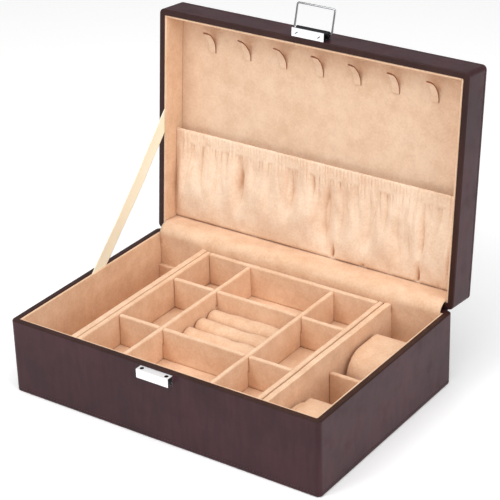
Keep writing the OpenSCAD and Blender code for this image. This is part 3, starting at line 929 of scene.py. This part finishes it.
def pinch_depth(across, rise, width):
    """Short hollows where the cloth is pinched into the seam at its foot."""
    depth = 0
    for place, height, deep, half_width in PINCHES:
        lean = (rise - height) * 6 * MM
        near = valley((across - place) * width - lean, half_width * (0.5 + rise / height))
        depth += deep * MM * near * smoothstep(height, height * 0.3, rise)
    return depth


def pleats(x, rise):
    """Fine upright pleats over the elastic, which only stand outwards."""
    phase = x / PLEAT_PITCH + noise.noise(Vector((x * 45, 0.3, 1.7))) * 0.9
    return PLEAT * abs(math.sin(math.pi * phase)) * smoothstep(CASING - 0.22, CASING + 0.02, rise)


def pocket_folds(x, across, rise, width):
    """How far the pocket's cloth stands out at a place, from its foot (rise 0) to its elastic (rise 1)."""
    puff = noise.noise(Vector((x * 22, rise * 1.6, 7.7))) + 0.5 * noise.noise(Vector((x * 60, rise * 3, 2.2)))
    hang = math.sin(math.pi * min(1, rise / CASING) ** 0.75)
    out = hang * BULGE * (1 + puff) - fold_depth(across, rise, width)
    casing_seam = 0.35 * MM * math.exp(-((rise - CASING) / 0.012) ** 2)
    out += pleats(x, rise) - casing_seam - pinch_depth(across, rise, width)
    deepest = -6 * MM * smoothstep(CASING, CASING - 0.12, rise) - 0.1 * MM
    return max(out, deepest)


def make_pocket():
    """A gathered pocket: one sheet up the front, over the elastic and down behind it."""
    low, high = shut_box("pocket")
    foot, top = -high.y, -low.y
    front = low.z + 0.5 * MM
    width = high.x - low.x
    rise_length = top - foot - HEM_ROUND
    turn_length = math.pi * HEM_ROUND
    length = rise_length + turn_length + HEM_BACK

    def place(across, along):
        x = low.x + width * across
        travel = along * length
        rise = min(1, travel / rise_length)
        out = pocket_folds(x, across, rise, width) * side_ease(across)
        reach = foot + min(travel, rise_length)
        leave_seam = smoothstep(0, 0.045, rise)
        stand = front - out * leave_seam + SEAM_BACK * (1 - leave_seam)
        if travel > rise_length:
            turn = min(math.pi, (travel - rise_length) / HEM_ROUND)
            reach += HEM_ROUND * math.sin(turn) - max(0, travel - rise_length - turn_length)
            stand += HEM_ROUND * (1 - math.cos(turn))
        return Vector((x, -reach, stand))

    piece = cloth_grid("lid_pocket", 520, 84, place, POCKET_CLOTH)
    mark_fold_shade(piece)
    piece.data.transform(LID_OPEN)
    fit(piece, "lid", "suede_lining", ["pocket"], finish=POCKET_VELOUR)
    make_elastic()


def mark_fold_shade(piece):
    """Stores how far each point of the pocket lies below the cloth around it, as the share of painted fold
    shade in its colour.
    """
    near = neighbours(piece)
    level = [vertex.co.z for vertex in piece.data.vertices]
    for _ in range(SMOOTHING):
        level = [sum(level[n] for n in around) / len(around) for around in near]
    marks = piece.data.attributes.new("fold_depth", "FLOAT", "POINT")
    for vertex, smooth_level, mark in zip(piece.data.vertices, level, marks.data):
        mark.value = smoothstep(0, FOLD_FULL_SHADE, vertex.co.z - smooth_level)


def neighbours(piece):
    near = [[] for _ in piece.data.vertices]
    for edge in piece.data.edges:
        first, second = edge.vertices
        near[first].append(second)
        near[second].append(first)
    return near


def make_elastic():
    """The elastic band inside the pocket's hem."""
    low, high = shut_box("pocket_elastic")
    middle = (low + high) / 2
    size = high - low

    def place(across, along):
        wave = math.sin(across * 260) * 0.06 * MM
        return Vector((low.x + size.x * across, low.y + size.y * along, middle.z + wave))

    band = cloth_grid("pocket_elastic_band", 240, 6, place, size.z * 0.8)
    band.data.transform(LID_OPEN)
    fit(band, "lid", "elastic", ["pocket_elastic"])


def side_ease(across):
    """The cloth lies flat where its sides are glued to the lid's side linings."""
    return smoothstep(0, 0.03, across) * smoothstep(1, 0.97, across)


RIBBON_CLOTH = 0.35 * MM
RIBBON_BOW = 0.9 * MM
RIBBON_CURL = 0.35 * MM
RIBBON_TUCK = 12 * MM


def make_stay_ribbon():
    """A satin ribbon from the base's left rim to the lid's, tucked behind the linings at both ends."""
    points = [vertex.co for vertex in frame["nodes"]["stay_ribbon"].data.vertices]
    lowest, nearest = min(points, key=lambda p: p.z), min(points, key=lambda p: p.y)
    highest, farthest = max(points, key=lambda p: p.z), max(points, key=lambda p: p.y)
    low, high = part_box("stay_ribbon")
    start, end = (lowest + nearest) / 2, (highest + farthest) / 2
    start.x = end.x = (low.x + high.x) / 2
    width = math.hypot(lowest.y - nearest.y, lowest.z - nearest.z)
    run = end - start
    across = run.normalized().cross(Vector((1, 0, 0)))
    tuck = RIBBON_TUCK / run.length

    def place(wide, long):
        free = min(1, max(0, (long - tuck) / (1 - 2 * tuck)))
        bow = RIBBON_BOW * math.sin(math.pi * free) ** 2
        curl = RIBBON_CURL * (4 * (wide - 0.5) ** 2) * smoothstep(0, 0.1, free) * smoothstep(1, 0.9, free)
        ripple = noise.noise(Vector((long * 5, wide * 0.8, 4.2))) * 0.5 * MM * math.sin(math.pi * free)
        return start + run * long + across * (wide - 0.5) * width + Vector((bow + curl + ripple, 0, 0))

    ribbon = cloth_grid("stay_ribbon_satin", 14, 120, place, RIBBON_CLOTH)
    fit(ribbon, None, "satin_ribbon", ["stay_ribbon"])
    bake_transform(ribbon)


def bent_strip(name, low_x, high_x, corners, rows, thickness, ripple):
    """A strip of cloth or leather laid along a bent line, given as its points."""
    lengths = [0]
    for before, after in zip(corners, corners[1:]):
        lengths.append(lengths[-1] + (after - before).length)
    total = lengths[-1]

    def place(wide, long):
        travel = long * total
        stretch = next((i for i in range(1, len(corners)) if travel <= lengths[i] + 1e-9), len(corners) - 1)
        share = (travel - lengths[stretch - 1]) / (lengths[stretch] - lengths[stretch - 1])
        point = corners[stretch - 1].lerp(corners[stretch], share)
        x = low_x + (high_x - low_x) * wide
        sag = noise.noise(Vector((x * 22, long * 3, 6.6))) * ripple * math.sin(math.pi * long)
        return Vector((x, point.y - sag * 0.5, point.z - sag))

    return cloth_grid(name, 90, rows, place, thickness), total


def curve_points(start, start_way, end, end_way, steps):
    """Points of a smooth curve that leaves start and comes to end in the given ways."""
    first, second = start + start_way, end - end_way
    points = []
    for step in range(steps + 1):
        t = step / steps
        points.append(start * (1 - t) ** 3 + first * 3 * t * (1 - t) ** 2
                      + second * 3 * t * t * (1 - t) + end * t ** 3)
    return points


def lid_point(reach, height):
    """A point on the lid, by its distance from the hinge and its height above the rim, on the open lid."""
    return LID_OPEN @ Vector((0, -reach, height))


def make_hinge_lining():
    """The inner strip: up the base's back lining, over the hinge in a curve, and under the pocket's foot."""
    low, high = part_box("hinge_lining")
    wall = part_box("base_lining_back")[0].y
    shelf = -shut_box("lid_lining_back")[0].y + 0.3 * MM
    foot = Vector((0, wall + 0.35 * MM, low.z))
    rise = Vector((0, wall - 0.35 * MM, hinge_line.z - 2 * MM))
    land = lid_point(shelf, 3.5 * MM)
    edge = lid_point(shelf, shut_box("pocket")[0].z + 0.8 * MM)
    way = (edge - land).normalized()
    corners = [foot] + curve_points(rise, Vector((0, 0, 6 * MM)), land, way * 5 * MM, 14) + [edge]
    piece, total = bent_strip("hinge_lining_strip", low.x, high.x, corners, 44, 0.5 * MM, 0.5 * MM)
    fit(piece, None, "suede_lining", ["hinge_lining"])
    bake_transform(piece)


def make_hinge_leather():
    """The outer strip: up the base's back and out under the open lid's back."""
    low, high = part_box("hinge_leather")
    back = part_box("base_leather_cover")[1].y + 0.35 * MM
    foot = Vector((0, back, low.z))
    rise = Vector((0, back, hinge_line.z - 3 * MM))
    land = lid_point(-0.35 * MM, 3 * MM)
    edge = lid_point(-0.35 * MM, 12 * MM)
    way = (edge - land).normalized()
    corners = [foot] + curve_points(rise, Vector((0, 0, 1.6 * MM)), land, way * 1.6 * MM, 10) + [edge]
    piece, total = bent_strip("hinge_leather_strip", low.x, high.x, corners, 30, 0.6 * MM, 0)
    fit(piece, None, "leather", ["hinge_leather"])
    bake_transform(piece)


# ---- Clasp ----
BARREL_REACH = 2.6 * MM
MARK_OUT = 10.5 * MM
MARK_SIZE = Vector((1.9, 0.42, 0.16)) * MM


def make_clasp_sheets():
    """The folded catch and housing, with eased corners and painted shade in their hollows, and the domed
    rivets.
    """
    for node, body, ease in (("base_catch", "base", 0.22), ("latch_housing", "lid", 0.22),
                             ("catch_rivets", "base", 0.35), ("latch_rivets", "lid", 0.35)):
        piece = rounded_copy(node, node + "_plated", ease * MM, 2)
        piece.data.materials.append(FINISHES["chrome"])
        piece.data.materials.append(PAINTED_SHADE_PLATE)
        if "rivets" not in node:
            paint_inside_shade(piece)
        if node == "base_catch":
            light_top_and_shade_holes(piece)
        if node == "latch_housing":
            mark_housing(piece)
        fit(piece, body, "chrome", [node])


def light_top_and_shade_holes(piece):
    """Gives the catch's top face a brushed, paler plate as a painted highlight, and the walls of the holes
    through it the near-black finish as painted shade.
    """
    piece.data.materials.append(BRUSHED_HIGHLIGHT_PLATE)
    low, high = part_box("base_catch")
    for face in piece.data.polygons:
        past_ends = min(face.center.x - low.x, high.x - face.center.x) > 1.5 * MM
        past_sides = min(face.center.y - low.y, high.y - face.center.y) > 0.8 * MM
        if face.normal.z > 0.9 and face.center.z > high.z - 0.3 * MM:
            face.material_index = 2
        elif face.center.z > high.z - 1.5 * MM and abs(face.normal.z) < 0.6 and past_ends and past_sides:
            face.material_index = 1


def paint_inside_shade(piece):
    """Paints shade with the near-black finish on the faces that look into a folded sheet's hollow, and round
    the housing's barrel.
    """
    middle = sum((vertex.co for vertex in piece.data.vertices), Vector()) / len(piece.data.vertices)
    for face in piece.data.polygons:
        towards = middle - face.center
        towards.x = 0
        inside = abs(face.normal.x) < 0.3 and face.normal.dot(towards) > 0.5 * MM
        if inside or is_on_barrel(face.center):
            face.material_index = 1


def is_on_barrel(point):
    """True round the rolled barrel of the housing, which lies on the bail's pivot."""
    pivot = Vector(joint("bail_pivot")["pos_m"])
    return math.hypot(point.y - pivot.y, point.z - pivot.z) < BARREL_REACH


def mark_housing(piece):
    """Two short pressed marks that slant across the corners of the housing's front plate, in the near-black
    finish as painted shade for its inner corners.
    """
    low, high = shut_box("latch_housing")
    middle = (low + high) / 2
    slant = Matrix.Rotation(math.radians(-38), 4, "Z")
    for side in (-1, 1):
        deselect()
        bpy.ops.mesh.primitive_uv_sphere_add(segments=10, ring_count=6, radius=1)
        mark = bpy.context.object
        size = Matrix.Diagonal((*MARK_SIZE, 1))
        place = Vector((middle.x + side * MARK_OUT, middle.y + 0.4 * MM, low.z))
        mark.data.transform(LID_OPEN @ Matrix.Translation(place) @ slant @ size)
        mark.data.materials.append(FINISHES["chrome"])
        mark.data.materials.append(PAINTED_SHADE_PLATE)
        # The marks take the near-black finish all over, as painted shade.
        for face in mark.data.polygons:
            face.material_index = 1
        join(piece.name, [piece, mark])


BEND = 1.6 * MM
BAIL_LEAN = math.radians(11)


def make_bail():
    """A wire loop bent round four corners, leaning back about the bar that lies in the barrel."""
    pivot = Matrix.Translation(LID_SHUT @ Vector(joint("bail_pivot")["pos_m"]))
    leaning = LID_OPEN @ pivot @ Matrix.Rotation(-BAIL_LEAN, 4, "X") @ pivot.inverted()
    low, high = shut_box("latch_bail", leaning.inverted())
    wire = (high.z - low.z) / 2
    span, middle = high - low - Vector((wire, wire, 0)) * 2, (low + high) / 2
    deselect()
    bpy.ops.mesh.primitive_plane_add(size=1)
    bail = bpy.context.object
    bail.name = "bail_wire"
    bail.data.transform(Matrix.Translation(middle) @ Matrix.Diagonal((span.x, span.y, 1, 1)))
    start_shaping(bail)
    bpy.ops.mesh.delete(type="ONLY_FACE")
    bpy.ops.mesh.select_all(action="SELECT")
    bpy.ops.mesh.bevel(offset=BEND, segments=5, affect="VERTICES")
    stop_shaping()
    bpy.ops.object.convert(target="CURVE")
    bail.data.bevel_depth = wire
    bail.data.bevel_resolution = 4
    bpy.ops.object.convert(target="MESH")
    bail.data.transform(leaning)
    smooth(bail, 180)
    fit(bail, "bail", "chrome", ["latch_bail"], finish=BAIL_SHADED_CHROME)


# ---- Scene ----
def make_floor():
    deselect()
    bpy.ops.mesh.primitive_plane_add(size=12, location=(0, 0, 0))
    floor = bpy.context.object
    floor.name = "floor"
    settle_place()
    finish = Finish("pale_floor", **{"Specular IOR Level": 0.1})
    finish.set("Base Color", (1, 1, 1, 1))
    finish.set("Roughness", 0.9)
    finish.set("Emission Color", (1, 1, 1, 1))
    finish.set("Emission Strength", 0.14)
    floor.data.materials.append(finish.material)


def softbox(name, place, aim, size, power):
    deselect()
    bpy.ops.object.light_add(type="AREA", location=place)
    light = bpy.context.object
    light.name = name
    light.data.shape = "RECTANGLE"
    light.data.size = size[0]
    light.data.size_y = size[1]
    light.data.energy = power
    light.rotation_euler = (Vector(aim) - Vector(place)).to_track_quat("-Z", "Y").to_euler()


def make_lights():
    world = bpy.data.worlds.new("studio")
    bpy.context.scene.world = world
    world.use_nodes = True
    world.node_tree.nodes["Background"].inputs["Color"].default_value = (1, 1, 1, 1)
    world.node_tree.nodes["Background"].inputs["Strength"].default_value = 0.46
    middle = (0, 0, 0.12)
    softbox("key_light", (-0.6, -1.2, 1.5), middle, (0.9, 0.9), 13.5)
    softbox("top_light", (0.2, -0.2, 1.7), middle, (1.3, 1.3), 10.8)
    softbox("side_light", (1.5, -0.35, 0.9), middle, (0.9, 0.9), 10)
    bpy.context.scene.view_settings.view_transform = "Standard"


def make_camera():
    azimuth, elevation, roll = math.radians(35.18), math.radians(26.76), math.radians(-1.66)
    distance = 1.4346
    target = Vector((0.0209, -0.0008, 0.1286))
    level = math.cos(elevation)
    back = Vector((math.sin(azimuth) * level, -math.cos(azimuth) * level, math.sin(elevation)))
    right = (-back).cross(Vector((0, 0, 1))).normalized()
    up = right.cross(-back)
    rolled_right = right * math.cos(roll) + up * math.sin(roll)
    rolled_up = up * math.cos(roll) - right * math.sin(roll)
    deselect()
    bpy.ops.object.camera_add()
    camera = bpy.context.object
    camera.data.sensor_width = 36
    camera.data.lens = 134.5
    camera.data.clip_start = 0.01
    turn = Matrix((rolled_right, rolled_up, back)).transposed().to_4x4()
    camera.matrix_world = Matrix.Translation(target + back * distance) @ turn
    bpy.context.scene.camera = camera


make_camera()
make_lights()
make_floor()
make_base_leather()
make_lid_leather()
make_underside()
dress_hidden_boards()
make_lined_boards()
make_lid_panel()
make_hooks()
make_pillow("watch_pillow_front", "pillow_front")
make_pillow("watch_pillow_rear", "pillow_rear")
make_ring_rolls()
make_pocket()
make_stay_ribbon()
make_hinge_lining()
make_hinge_leather()
make_clasp_sheets()
make_bail()
